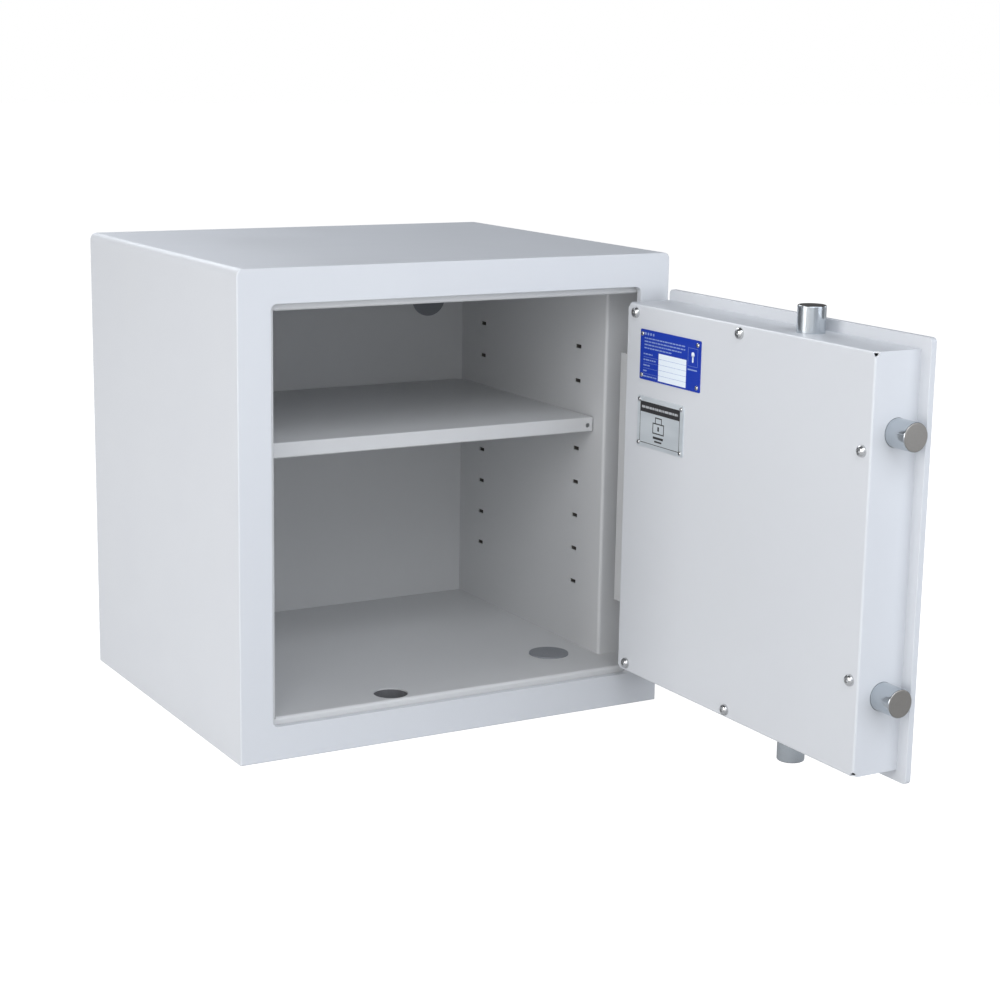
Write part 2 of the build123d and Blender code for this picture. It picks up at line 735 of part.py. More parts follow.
cabinet_pieces = {
    "outer_shell": outer_shell(), "front_frame": front_frame(), "base_plate": base_plate(),
    "rear_plate": rear_plate(), "liner_floor": liner_floor(), "liner_ceiling": liner_ceiling(),
    "liner_left": liner_left(), "liner_right": liner_right(), "liner_rear": liner_rear(),
    "filling_bottom": filling_bottom(), "filling_top": filling_top(), "filling_left": filling_left(),
    "filling_right": filling_right(), "filling_rear": filling_rear(),
    "floor_anchor_plugs": floor_anchor_plugs(), "rear_anchor_plugs": rear_anchor_plugs(),
    "keeper_bar": keeper_bar(), "shelf": shelf(), "shelf_clips": shelf_clips(),
    "hinge_lugs_upper": hinge_lugs(arm_z[0]), "hinge_lugs_lower": hinge_lugs(arm_z[1]),
    "hinge_pin_upper": hinge_pin(arm_z[0]), "hinge_pin_lower": hinge_pin(arm_z[1]),
    "hinge_washers": [hinge_washer(low) for low in arm_z],
}

door_pieces = {
    "door_plate": door_plate(), "door_cover": door_cover(), "cover_screws": cover_screws(),
    "cover_standoffs": cover_standoffs(), "hinge_arm_upper": hinge_arm(arm_z[0]),
    "hinge_arm_lower": hinge_arm(arm_z[1]), "dog_bar": dog_bar(), "data_plate": data_plate(),
    "mark_plate": mark_plate(), "plate_rivets": plate_rivets(), "hard_plate": hard_plate(),
    "spindle_bush": spindle_bush(), "side_bolt_bracket": side_bolt_bracket(),
    "top_bolt_bracket": end_bolt_bracket(1), "bottom_bolt_bracket": end_bolt_bracket(-1),
    "rod_guides": rod_guides(), "handle_rosette": handle_rosette(), "key_escutcheon": key_escutcheon(),
    "lock_case": lock_case(), "lock_cover": lock_cover(), "lock_screws": lock_screws(),
    "lever_pack": lever_pack(), "side_carrier": side_carrier(), "side_bolt_upper": side_bolt(1),
    "side_bolt_lower": side_bolt(-1), "top_bolt": end_bolt(1), "top_rod": end_rod(1),
    "bottom_bolt": end_bolt(-1), "bottom_rod": end_rod(-1), "spindle": spindle(),
    "cam_disc": cam_disc(), "cam_pins": cam_pins(), "handle": handle(), "lock_bolt": lock_bolt(),
    "key": key(),
}


def write(name, piece, place):
    solids = piece if isinstance(piece, list) else [piece]
    placed = [place(solid).solid() for solid in solids]
    whole = placed[0] if len(placed) == 1 else Compound(children=placed)
    export_step(whole, f"parts/{name}.step")


os.makedirs("parts", exist_ok=True)
for node, node_piece in cabinet_pieces.items():
    write(node, node_piece, stand)
for node, node_piece in door_pieces.items():
    write(node, node_piece, swing_open)
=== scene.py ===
"""Looks for a double-walled steel cabinet safe: paint, plated steel, name plates, lever handle and studio."""

import bpy
import numpy as np
from mathutils import Matrix, Vector


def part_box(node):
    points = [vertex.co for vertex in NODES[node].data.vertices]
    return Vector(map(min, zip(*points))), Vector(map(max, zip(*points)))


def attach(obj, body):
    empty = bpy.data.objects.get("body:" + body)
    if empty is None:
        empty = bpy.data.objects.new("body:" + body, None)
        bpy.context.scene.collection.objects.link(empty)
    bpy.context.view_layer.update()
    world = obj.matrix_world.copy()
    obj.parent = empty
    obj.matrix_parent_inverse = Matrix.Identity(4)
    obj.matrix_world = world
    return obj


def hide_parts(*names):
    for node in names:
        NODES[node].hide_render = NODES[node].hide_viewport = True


bl_info = {
    "name": "Cabinet Safe",
    "version": (1, 0, 0),
    "blender": (4, 5, 0),
    "location": "View3D > Sidebar > Safe",
    "description": "Finishes, name plates, lever handle and studio for a small steel cabinet safe",
    "category": "Object",
}

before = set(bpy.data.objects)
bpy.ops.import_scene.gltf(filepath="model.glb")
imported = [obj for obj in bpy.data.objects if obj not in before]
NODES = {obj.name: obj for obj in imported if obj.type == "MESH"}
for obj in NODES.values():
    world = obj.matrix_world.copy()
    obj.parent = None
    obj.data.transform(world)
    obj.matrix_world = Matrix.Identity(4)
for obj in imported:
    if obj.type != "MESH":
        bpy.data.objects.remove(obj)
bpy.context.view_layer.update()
MM = 0.001

# The two name plates face -X, with the door open a quarter turn.
DATA_LOW, DATA_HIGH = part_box("data_plate")
MARK_LOW, MARK_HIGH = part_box("mark_plate")


# ---------------------------------------------------------------- materials

def linear(code):
    """Linear RGBA from an sRGB hex colour."""
    srgb = np.array([int(code[i:i + 2], 16) / 255 for i in (1, 3, 5)])
    value = np.where(srgb <= 0.04045, srgb / 12.92, ((srgb + 0.055) / 1.055) ** 2.4)
    return (*value.tolist(), 1.0)


def add_node(tree, kind, inputs=None, **settings):
    """Add one node with its settings; each input takes a number, a colour or another node's socket."""
    node = tree.nodes.new(kind)
    for key, value in settings.items():
        setattr(node, key, value)
    for key, value in (inputs or {}).items():
        if isinstance(value, bpy.types.NodeSocket):
            tree.links.new(value, node.inputs[key])
        else:
            node.inputs[key].default_value = value
    return node


def new_material(name):
    """An empty material and its node tree, with an output."""
    material = bpy.data.materials.new(name)
    material.use_nodes = True
    tree = material.node_tree
    tree.nodes.clear()
    return material, tree


def finish_material(material, tree, shader):
    """Join the shader to the output."""
    add_node(tree, "ShaderNodeOutputMaterial", {"Surface": shader.outputs[0]})
    return material


def per_metre(size_mm):
    """Noise scale whose cells are about size_mm across."""
    return 1000.0 / size_mm


def place(tree, stretch=(1, 1, 1)):
    """Object coordinates in metres, stretched along the axes."""
    where = add_node(tree, "ShaderNodeTexCoord")
    return add_node(tree, "ShaderNodeMapping", {"Vector": where.outputs["Object"], "Scale": stretch}).outputs[0]


def noise(tree, where, size_mm, detail=2.0, roughness=0.5):
    """Noise between 0 and 1 with cells of about size_mm."""
    node = add_node(tree, "ShaderNodeTexNoise", {"Vector": where, "Scale": per_metre(size_mm),
                                                 "Detail": detail, "Roughness": roughness})
    return node.outputs["Fac"]


def span(tree, value, low, high):
    """Noise spread out between two numbers."""
    return add_node(tree, "ShaderNodeMapRange", {"Value": value, "From Min": 0.3, "From Max": 0.7,
                                                 "To Min": low, "To Max": high}).outputs[0]


def blend(tree, factor, first, second):
    """One colour turning into another."""
    mix = add_node(tree, "ShaderNodeMix", data_type="RGBA")
    tree.links.new(factor, mix.inputs["Factor"])
    for key, colour in (("A", first), ("B", second)):
        [s for s in mix.inputs if s.name == key and s.type == "RGBA"][0].default_value = colour
    return [s for s in mix.outputs if s.type == "RGBA"][0]


def powder_coat(name, light, dark, roughness, peel_mm, peel):
    """Polyester powder coat, sprayed and baked: an even satin skin with a faint orange peel.

    The eye sees soft wide highlights that waver slightly, and next to no change of colour."""
    material, tree = new_material(name)
    where = place(tree)
    clouds = noise(tree, where, 120)
    peel_noise = noise(tree, where, peel_mm, 1.0)
    bump = add_node(tree, "ShaderNodeBump", {"Strength": peel, "Distance": 0.0002, "Height": peel_noise})
    shader = add_node(tree, "ShaderNodeBsdfPrincipled", {
        "Base Color": blend(tree, clouds, linear(light), linear(dark)),
        "Roughness": span(tree, clouds, roughness - 0.03, roughness + 0.04),
        "IOR": 1.5, "Normal": bump.outputs[0]})
    return finish_material(material, tree, shader)


def inside_box(tree, low, high):
    """1 where a point lies inside the box from low to high, in metres, and 0 elsewhere."""
    parts = add_node(tree, "ShaderNodeSeparateXYZ", {"Vector": place(tree)})
    inside = None
    for axis in range(3):
        middle, half = (low[axis] + high[axis]) / 2, (high[axis] - low[axis]) / 2
        near = add_node(tree, "ShaderNodeMath", {0: parts.outputs[axis], 1: middle, 2: half},
                        operation="COMPARE").outputs[0]
        if inside is not None:
            near = add_node(tree, "ShaderNodeMath", {0: inside, 1: near}, operation="MULTIPLY").outputs[0]
        inside = near
    return inside


def coat_with_painted_shade(name, light, dark, roughness, peel_mm, peel, low, high):
    """Powder coat on a hollow pressing, with painted shade in its hollows.

    The eye sees paint on the open faces and, within the box from low to high, painted shade: a dull dark grey like
    bare steel."""
    material = powder_coat(name, light, dark, roughness, peel_mm, peel)
    tree = material.node_tree
    output = next(node for node in tree.nodes if node.type == "OUTPUT_MATERIAL")
    coat = output.inputs["Surface"].links[0].from_socket
    grain = noise(tree, place(tree), 4, 3.0)
    # painted shade: a mottled dull dark grey like bare steel, mixed in wherever a point lies inside the box
    painted_shade = add_node(tree, "ShaderNodeBsdfPrincipled", {
        "Base Color": blend(tree, grain, linear("#707174"), linear("#646568")),
        "Roughness": span(tree, grain, 0.5, 0.65)})
    mix = add_node(tree, "ShaderNodeMixShader", {0: inside_box(tree, low, high), 1: coat, 2: painted_shade.outputs[0]})
    tree.links.new(mix.outputs[0], output.inputs["Surface"])
    return material


def mineral_filling(name):
    """Cast mineral barrier board: dull, coarse and speckled, seen only through the holes."""
    material, tree = new_material(name)
    where = place(tree)
    grit = noise(tree, where, 3, 6.0, 0.7)
    bump = add_node(tree, "ShaderNodeBump", {"Strength": 0.6, "Distance": 0.0006, "Height": grit})
    shader = add_node(tree, "ShaderNodeBsdfPrincipled", {
        "Base Color": blend(tree, grit, linear("#4a4743"), linear("#6d6963")),
        "Roughness": span(tree, grit, 0.85, 1.0), "Normal": bump.outputs[0]})
    return finish_material(material, tree, shader)


def metal(name, light, dark, roughness, grain_mm, stretch, depth, spread=0.06):
    """A metal with a directional grain: colour, gloss and a shallow bump all follow the same long noise."""
    material, tree = new_material(name)
    where = place(tree, stretch)
    grain = noise(tree, where, grain_mm, 3.0, 0.6)
    patches = noise(tree, place(tree), 28, 2.0)
    bump = add_node(tree, "ShaderNodeBump", {"Strength": depth, "Distance": 0.00005, "Height": grain})
    shader = add_node(tree, "ShaderNodeBsdfPrincipled", {
        "Base Color": blend(tree, patches, linear(light), linear(dark)),
        "Roughness": span(tree, grain, roughness - spread, roughness + spread),
        "Metallic": 1.0, "Normal": bump.outputs[0]})
    return finish_material(material, tree, shader)


def plated_bolt(name, bolt, axis, outward):
    """Ground bar, bright plated: cool and glossy along its length, with a duller end disc that carries a painted
    dark reflection.

    The eye sees close turned rings, a clear streak along the bar and a painted dark, warm reflection on the disc
    at its tip; the tip is told apart by how far a point lies along the bolt's own axis."""
    material, tree = new_material(name)
    corners = np.array(NODES[bolt].bound_box)[:, axis]
    end = corners.max() if outward > 0 else corners.min()
    along = add_node(tree, "ShaderNodeSeparateXYZ", {"Vector": place(tree)}).outputs[axis]
    tip = add_node(tree, "ShaderNodeMapRange", {"Value": along, "From Min": end - outward * 0.0006,
                                                "From Max": end - outward * 0.0003}).outputs[0]
    stretch = [1, 1, 1]
    stretch[axis] = 3
    rings = noise(tree, place(tree, stretch), 0.9, 3.0, 0.6)
    bump = add_node(tree, "ShaderNodeBump", {"Strength": 0.08, "Distance": 0.00005, "Height": rings})
    bar = add_node(tree, "ShaderNodeBsdfPrincipled", {
        "Base Color": blend(tree, rings, linear("#c6ccd1"), linear("#b9bfc4")),
        "Roughness": span(tree, rings, 0.14, 0.2), "Metallic": 0.92, "Normal": bump.outputs[0]})
    # painted reflection: the end disc takes a darker, warmer colour in place of the dark room it mirrors
    painted_end_reflection = add_node(tree, "ShaderNodeBsdfPrincipled", {
        "Base Color": blend(tree, rings, linear("#9a9793"), linear("#8e8b86")),
        "Roughness": span(tree, rings, 0.3, 0.4), "Metallic": 1.0, "Normal": bump.outputs[0]})
    return finish_material(material, tree, add_node(tree, "ShaderNodeMixShader", {
        0: tip, 1: bar.outputs[0], 2: painted_end_reflection.outputs[0]}))


def moulded_cap(name):
    """Moulded polyethylene: flat mid grey with a fine spark texture, drawn coarse, and little shine."""
    material, tree = new_material(name)
    where = place(tree)
    spark = noise(tree, where, 1.2, 2.0)
    bump = add_node(tree, "ShaderNodeBump", {"Strength": 0.25, "Distance": 0.0001, "Height": spark})
    shader = add_node(tree, "ShaderNodeBsdfPrincipled", {
        "Base Color": blend(tree, spark, linear("#888b90"), linear("#818489")),
        "Roughness": span(tree, spark, 0.5, 0.62), "Normal": bump.outputs[0]})
    return finish_material(material, tree, shader)


def lacquered_plate(name):
    """Aluminium sheet printed blue and lacquered: deep colour under a clear glossy skin."""
    material, tree = new_material(name)
    where = place(tree, (1, 1, 18))
    brush = noise(tree, where, 9, 3.0)
    bump = add_node(tree, "ShaderNodeBump", {"Strength": 0.08, "Distance": 0.00005, "Height": brush})
    shader = add_node(tree, "ShaderNodeBsdfPrincipled", {
        "Base Color": blend(tree, brush, linear("#0836ae"), linear("#0631a2")),
        "Roughness": span(tree, brush, 0.4, 0.46), "Coat Weight": 0.1, "Coat Roughness": 0.12,
        "Normal": bump.outputs[0]})
    return finish_material(material, tree, shader)


def brushed_plate(name):
    """Brushed aluminium sheet: hair lines across it, and soft lighter and darker bands between them.

    Real hair lines are about 0.05 mm; these are 0.8 mm, because finer ones would only flicker."""
    material, tree = new_material(name)
    bands = noise(tree, place(tree, (1, 0.2, 1)), 18, 1.0)
    hair = noise(tree, place(tree, (1, 0.03, 1)), 0.8, 2.0)
    bump = add_node(tree, "ShaderNodeBump", {"Strength": 0.3, "Distance": 0.00003, "Height": hair})
    shader = add_node(tree, "ShaderNodeBsdfPrincipled", {
        "Base Color": blend(tree, bands, linear("#b0b9c0"), linear("#edf3f7")),
        "Roughness": span(tree, hair, 0.32, 0.46), "Metallic": 0.35, "Normal": bump.outputs[0]})
    return finish_material(material, tree, shader)


def print_ink(name, code, roughness):
    """Screen-printed ink: an even matt film with a trace of mottle."""
    material, tree = new_material(name)
    mottle = noise(tree, place(tree), 2.5, 2.0)
    base = np.array(linear(code))
    shade = tuple((base * np.array([0.95, 0.95, 0.95, 1])).tolist())
    shader = add_node(tree, "ShaderNodeBsdfPrincipled", {
        "Base Color": blend(tree, mottle, tuple(base.tolist()), shade),
        "Roughness": span(tree, mottle, roughness, roughness + 0.08)})
    return finish_material(material, tree, shader)


def paint(names, material):
    """Put one material on a list of frame nodes."""
    for name in names:
        node = NODES[name]
        node.data.materials.clear()
        node.data.materials.append(material)


# ---------------------------------------------------------------- surfaces

def add_piece(name, points, faces, material, body, smooth=True):
    """A mesh from a point array and a face list, riding on a body."""
    mesh = bpy.data.meshes.new(name)
    mesh.from_pydata(points.reshape(-1, 3), [], faces)
    mesh.polygons.foreach_set("use_smooth", np.full(len(mesh.polygons), smooth))
    mesh.materials.append(material)
    mesh.validate()
    piece = bpy.data.objects.new(name, mesh)
    bpy.context.scene.collection.objects.link(piece)
    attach(piece, body)
    return piece


def tube_faces(rings, around):
    """Quads between successive closed rings, and one polygon over each end, all facing outwards."""
    a = np.arange(rings - 1)[:, None] * around
    j = np.arange(around)[None, :]
    k = (j + 1) % around
    quads = np.stack([a + j, a + k, a + around + k, a + around + j], axis=-1).reshape(-1, 4)
    first = np.arange(around)[::-1]
    last = (rings - 1) * around + np.arange(around)
    return quads.tolist() + [first.tolist(), last.tolist()]


def plate_print(bars, low, high, height, corner=0.35):
    """Raised printing on a plate that faces -X, as closed pads with rounded ends.

    Each bar is a rounded rectangle: u = cu + (hw - r) sign(c) + r c, v = cv + (hh - r) sign(s) + r s,
    with c and s the cosine and sine of 24 angles and r the corner's radius; bars holds u0, u1, v0, v1
    in millimetres from the plate's top corner on the hinge side, u towards -Y and v downwards."""
    bars = np.asarray(bars, dtype=float)
    around = 24
    angle = (np.arange(around) + 0.5) * 2 * np.pi / around
    c, s = np.cos(angle), np.sin(angle)
    half_u = np.abs(np.diff(bars[:, :2], axis=1)) / 2
    half_v = np.abs(np.diff(bars[:, 2:], axis=1)) / 2
    r = np.minimum(np.minimum(half_u, half_v) * 0.98, corner)
    u = bars[:, :2].mean(1)[:, None] + (half_u - r) * np.sign(c) + r * c
    v = bars[:, 2:].mean(1)[:, None] + (half_v - r) * np.sign(s) + r * s
    y = high.y - u * MM
    z = high.z - v * MM
    base = np.stack([np.full_like(y, low.x + 0.00002), y, z], axis=-1)
    top = base - [height * MM, 0, 0]
    points = np.stack([base, top], axis=1)
    pad = [np.array(face) for face in tube_faces(2, around)]
    faces = [(face + index * 2 * around).tolist() for index in range(len(bars)) for face in pad]
    return points, faces


def outline(u0, u1, v0, v1, out, into):
    """Four bars round a rectangle, reaching so far outside and inside its edges."""
    return [[u0, u1, v0 - out, v0 + into], [u0, u1, v1 - into, v1 + out],
            [u0 - out, u0 + into, v0, v1], [u1 - into, u1 + out, v0, v1]]


def text_row(u0, u1, v, height, seed):
    """A line of unreadable small print: bars as long as words, with gaps between them, in millimetres."""
    most_words, gap = 40, 0.8
    lengths = np.random.default_rng(seed).uniform(1.6, 6.5, most_words)
    starts = u0 + np.concatenate([[0], np.cumsum(lengths + gap)[:-1]])
    ends = np.minimum(starts + lengths, u1)
    rows = np.stack([starts, ends, np.full(most_words, v), np.full(most_words, v + height)], axis=1)
    return rows[ends - starts > gap]


# ---------------------------------------------------------------- properties

class SafePaintProps(bpy.types.PropertyGroup):
    """Paint of the cabinet and the door."""
    roughness: bpy.props.FloatProperty(
        name="Gloss roughness", description="Roughness of the satin powder coat",
        default=0.42, min=0.05, max=1.0, subtype="FACTOR")
    peel_mm: bpy.props.FloatProperty(
        name="Orange peel", description="Size of the coat's ripples in millimetres", default=3.0, min=0.5, max=20)
    peel: bpy.props.FloatProperty(
        name="Peel strength", description="How deep the ripples look",
        default=0.12, min=0, max=1, subtype="FACTOR")


class SafePlateProps(bpy.types.PropertyGroup):
    """The two name plates on the door's cover."""
    ink_height: bpy.props.FloatProperty(
        name="Ink height", description="How far the print stands off the plate, in mm",
        default=0.06, min=0.01, max=0.5)
    table_rows: bpy.props.IntProperty(
        name="Table rows", description="Rows in the white table", default=5, min=1, max=9)


class SafeHandleProps(bpy.types.PropertyGroup):
    """The lever handle."""
    reach: bpy.props.FloatProperty(
        name="Reach", description="Length of the grip from the spindle",
        default=0.112, min=0.05, max=0.2, unit="LENGTH")
    grip: bpy.props.FloatProperty(
        name="Grip width", description="Half width of the grip at its widest",
        default=0.0095, min=0.004, max=0.02, unit="LENGTH")


class SafeStageProps(bpy.types.PropertyGroup):
    """Floor and lights."""
    power: bpy.props.FloatProperty(
        name="Soft boxes", description="Power that the soft boxes share", default=196, min=0, unit="POWER")
    box_size: bpy.props.FloatProperty(
        name="Box size", description="Width of each soft box", default=1.7, min=0.2, unit="LENGTH")
    sky: bpy.props.FloatProperty(
        name="Fill", description="Strength of the even light all round", default=0.12, min=0)
    floor_size: bpy.props.FloatProperty(
        name="Floor", description="Width of the floor", default=40, min=2, unit="LENGTH")


# ---------------------------------------------------------------- operators

CABINET_NODES = ["outer_shell", "front_frame", "base_plate", "rear_plate"]
LINER_NODES = ["liner_right", "liner_rear", "keeper_bar", "shelf"]
DOOR_NODES = ["door_plate", "hinge_arm_upper", "hinge_arm_lower", "dog_bar"]
FILLING_NODES = ["filling_bottom", "filling_top", "filling_left", "filling_right", "filling_rear"]


class SAFE_OT_cabinet(bpy.types.Operator):
    """Paint the cabinet's outside and its lining, and finish the filling and the anchor caps"""
    bl_idname = "safe.cabinet"
    bl_label = "Cabinet finishes"

    def execute(self, context):
        coat = context.scene.safe_paint
        paint(CABINET_NODES, powder_coat("satin powder coat", "#d4d7db", "#d0d3d8", coat.roughness,
                                         coat.peel_mm, coat.peel))
        inside = ("#d0d1d2", "#cbcccd", coat.roughness + 0.08, coat.peel_mm, coat.peel)
        paint(LINER_NODES, powder_coat("liner powder coat", *inside))
        floor_top, ceiling_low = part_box("filling_bottom")[1].z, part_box("filling_top")[0].z
        side_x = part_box("filling_left")[1].x
        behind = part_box("front_frame")[1].y + 0.012          # painted shade starts 12 mm behind the frame, so the bent front edges show the coat on both sides
        # painted shade: lining faces that reach into the filling, and lie more than 12 mm behind the frame, turn a
        # dull dark grey
        paint(["liner_floor"], coat_with_painted_shade("floor lining coat", *inside, (-1, behind, -1), (1, 1, floor_top)))
        paint(["liner_ceiling"],
              coat_with_painted_shade("ceiling lining coat", *inside, (-1, behind, ceiling_low), (1, 1, 1)))
        paint(["liner_left"], coat_with_painted_shade("side lining coat", *inside, (-1, behind, -1), (side_x, 1, 1)))
        paint(FILLING_NODES, mineral_filling("cast mineral board"))
        paint(["floor_anchor_plugs", "rear_anchor_plugs"], moulded_cap("moulded grey cap"))
        paint(["shelf_clips"], metal("bright zinc plate", "#c9cbcc", "#aeb1b6", 0.34, 1.5, (1, 1, 1), 0.3))
        return {"FINISHED"}


class SAFE_OT_door(bpy.types.Operator):
    """Paint the door plate, its cover and the hinge arms, and finish the cover's screws and the hinges"""
    bl_idname = "safe.door"
    bl_label = "Door finishes"

    def execute(self, context):
        coat = context.scene.safe_paint
        finish = ("#d4d7db", "#d1d4d9", coat.roughness, coat.peel_mm, coat.peel)
        paint(DOOR_NODES, powder_coat("door powder coat", *finish))
        low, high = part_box("door_cover")
        sheet = Vector((0.0013, 0.0013, 0.0013))
        # painted shade: the cover's inner faces, 1.3 mm in from its outside, take a dull dark grey, so its corner
        # notches look dark
        paint(["door_cover"], coat_with_painted_shade("cover powder coat", *finish, low + sheet, high - sheet))
        paint(["cover_screws", "plate_rivets", "lock_screws", "key"],
              metal("zinc plated screw", "#dcdcda", "#c2c3c6", 0.2, 0.8, (1, 1, 1), 0.25))
        paint(["hinge_lugs_upper", "hinge_lugs_lower", "cover_standoffs", "hard_plate", "side_bolt_bracket",
               "top_bolt_bracket", "bottom_bolt_bracket", "rod_guides"],
              metal("oiled cold-rolled steel", "#8f9093", "#77787c", 0.38, 2.0, (1, 0.1, 1), 0.4))
        paint(["hinge_pin_upper", "hinge_pin_lower"],
              metal("ground pin steel", "#c6c6c8", "#b0b0b4", 0.22, 0.8, (1, 1, 6), 0.3))
        paint(["hinge_washers", "spindle_bush", "lever_pack", "lock_bolt"],
              metal("rolled brass", "#d9b168", "#c59a52", 0.28, 1.2, (1, 0.1, 1), 0.3))
        return {"FINISHED"}


class SAFE_OT_boltwork(bpy.types.Operator):
    """Finish the four round bolts, the rods, the crank and the lock's case"""
    bl_idname = "safe.boltwork"
    bl_label = "Boltwork finishes"

    def execute(self, context):
        paint(["side_bolt_upper", "side_bolt_lower"],
              plated_bolt("bright plated side bolt", "side_bolt_upper", 1, -1))
        paint(["top_bolt"], plated_bolt("bright plated top bolt", "top_bolt", 2, 1))
        paint(["bottom_bolt"], plated_bolt("bright plated bottom bolt", "bottom_bolt", 2, -1))
        paint(["side_carrier", "top_rod", "bottom_rod", "cam_disc", "cam_pins", "spindle", "lock_case",
               "lock_cover"],
              metal("zinc plated boltwork", "#c3c3bf", "#a9aaa8", 0.33, 1.5, (1, 0.2, 1), 0.3))
        return {"FINISHED"}


class SAFE_OT_data_plate(bpy.types.Operator):
    """Print the blue data plate: a heading, small print, five labels, a white table and a framed keyhole"""
    bl_idname = "safe.data_plate"
    bl_label = "Data plate"

    def execute(self, context):
        props = context.scene.safe_plate
        paint(["data_plate"], lacquered_plate("blue lacquered aluminium"))
        white = print_ink("white plate ink", "#ecf6ff", 0.4)
        pale = print_ink("pale blue plate ink", "#8ea3d2", 0.4)
        width, tall = (DATA_HIGH.y - DATA_LOW.y) / MM, (DATA_HIGH.z - DATA_LOW.z) / MM

        heading = [[0.075 * width + 4.4 * n, 0.075 * width + 4.4 * n + 2.2, 0.055 * tall, 0.105 * tall]
                   for n in range(4)]
        text = [heading]
        for row, (v, end) in enumerate(((0.155, 0.76), (0.22, 0.75), (0.285, 0.69), (0.35, 0.53))):
            text.append(text_row(0.07 * width, end * width, v * tall, 1.15, row + 3))
        labels = ((0.47, 0.22), (0.585, 0.27), (0.695, 0.17), (0.805, 0.13), (0.915, 0.29))
        text += [text_row(0.06 * width, end * width, v * tall, 1.2, row + 11)
                 for row, (v, end) in enumerate(labels)]
        text.append([[0.80 * width, 0.95 * width, 0.575 * tall, 0.6 * tall]])
        points, faces = plate_print(np.concatenate(text), DATA_LOW, DATA_HIGH, props.ink_height)
        add_piece("data_plate_print", points, faces, pale, "door", False)

        top, bottom = 0.42 * tall, 0.965 * tall
        left, right = 0.315 * width, 0.775 * width
        points, faces = plate_print([[left, right, top, bottom]], DATA_LOW, DATA_HIGH, props.ink_height, 0.2)
        add_piece("data_plate_table", points, faces, white, "door", False)

        rows = np.linspace(top, bottom, props.table_rows + 1)[1:-1]
        lines = [[left, right, v - 0.14, v + 0.14] for v in rows]
        lines += [[0.06 * width, left - 1.0, v * tall - 0.1, v * tall + 0.1] for v in (0.545, 0.655, 0.765, 0.875)]
        box = (0.80 * width, 0.955 * width, 0.17 * tall, 0.52 * tall)
        lines += outline(*box, 0.12, 0.12)
        points, faces = plate_print(lines, DATA_LOW, DATA_HIGH, props.ink_height * 1.6)
        add_piece("data_plate_lines", points, faces, pale, "door", False)

        # a plain keyhole inside the thin frame: a round eye over an upright slot
        middle, eye = (box[0] + box[1]) / 2, 0.29 * tall
        keyhole = [[middle - 2.4, middle + 2.4, eye - 2.4, eye + 2.4],
                   [middle - 1.1, middle + 1.1, eye + 1.0, eye + 7.5]]
        points, faces = plate_print(keyhole, DATA_LOW, DATA_HIGH, props.ink_height, 2.4)
        add_piece("data_plate_keyhole", points, faces, white, "door", False)
        return {"FINISHED"}


class SAFE_OT_mark_plate(bpy.types.Operator):
    """Etch the brushed plate: a frame line, a dark heading band and a plain padlock over two short bars"""
    bl_idname = "safe.mark_plate"
    bl_label = "Mark plate"

    def execute(self, context):
        props = context.scene.safe_plate
        paint(["mark_plate"], brushed_plate("brushed aluminium plate"))
        dark = print_ink("dark etched fill", "#2a2a2c", 0.45)
        grey = print_ink("pale heading ink", "#b9bcc0", 0.45)
        width, tall = (MARK_HIGH.y - MARK_LOW.y) / MM, (MARK_HIGH.z - MARK_LOW.z) / MM
        left, right, top, bottom = 0.065 * width, 0.925 * width, 0.095 * tall, 0.915 * tall
        line, stroke = 0.3, 1.1
        band = top + 0.21 * tall
        middle, low = 0.47 * width, 0.69 * tall
        ink = [[left, right, top, band],
               [left - line, left + line, top, bottom], [right - line, right + line, top, bottom],
               [left, right, bottom - line, bottom + line]]
        # padlock: body, shackle, keyhole, and two unreadable words below it
        ink += outline(middle - 9.5, middle + 9.5, low - 10.5, low, 0, stroke)
        ink += [[middle - 5.6, middle - 4.5, low - 15.5, low - 10],
                [middle + 4.5, middle + 5.6, low - 15.5, low - 10],
                [middle - 5.6, middle + 5.6, low - 16, low - 14.9],
                [middle - 1.3, middle + 1.3, low - 7.4, low - 3.2],
                [middle - 8.5, middle + 8.5, low + 2.6, low + 4.8], [middle - 6, middle + 6, low + 6.4, low + 8.0]]
        points, faces = plate_print(ink, MARK_LOW, MARK_HIGH, props.ink_height)
        add_piece("mark_plate_print", points, faces, dark, "door", False)
        heading = text_row(left + 2.5, right - 3, top + 0.085 * tall, 2.2, 5)
        points, faces = plate_print(heading, MARK_LOW, MARK_HIGH, props.ink_height * 1.6)
        add_piece("mark_plate_heading", points, faces, grey, "door", False)
        return {"FINISHED"}


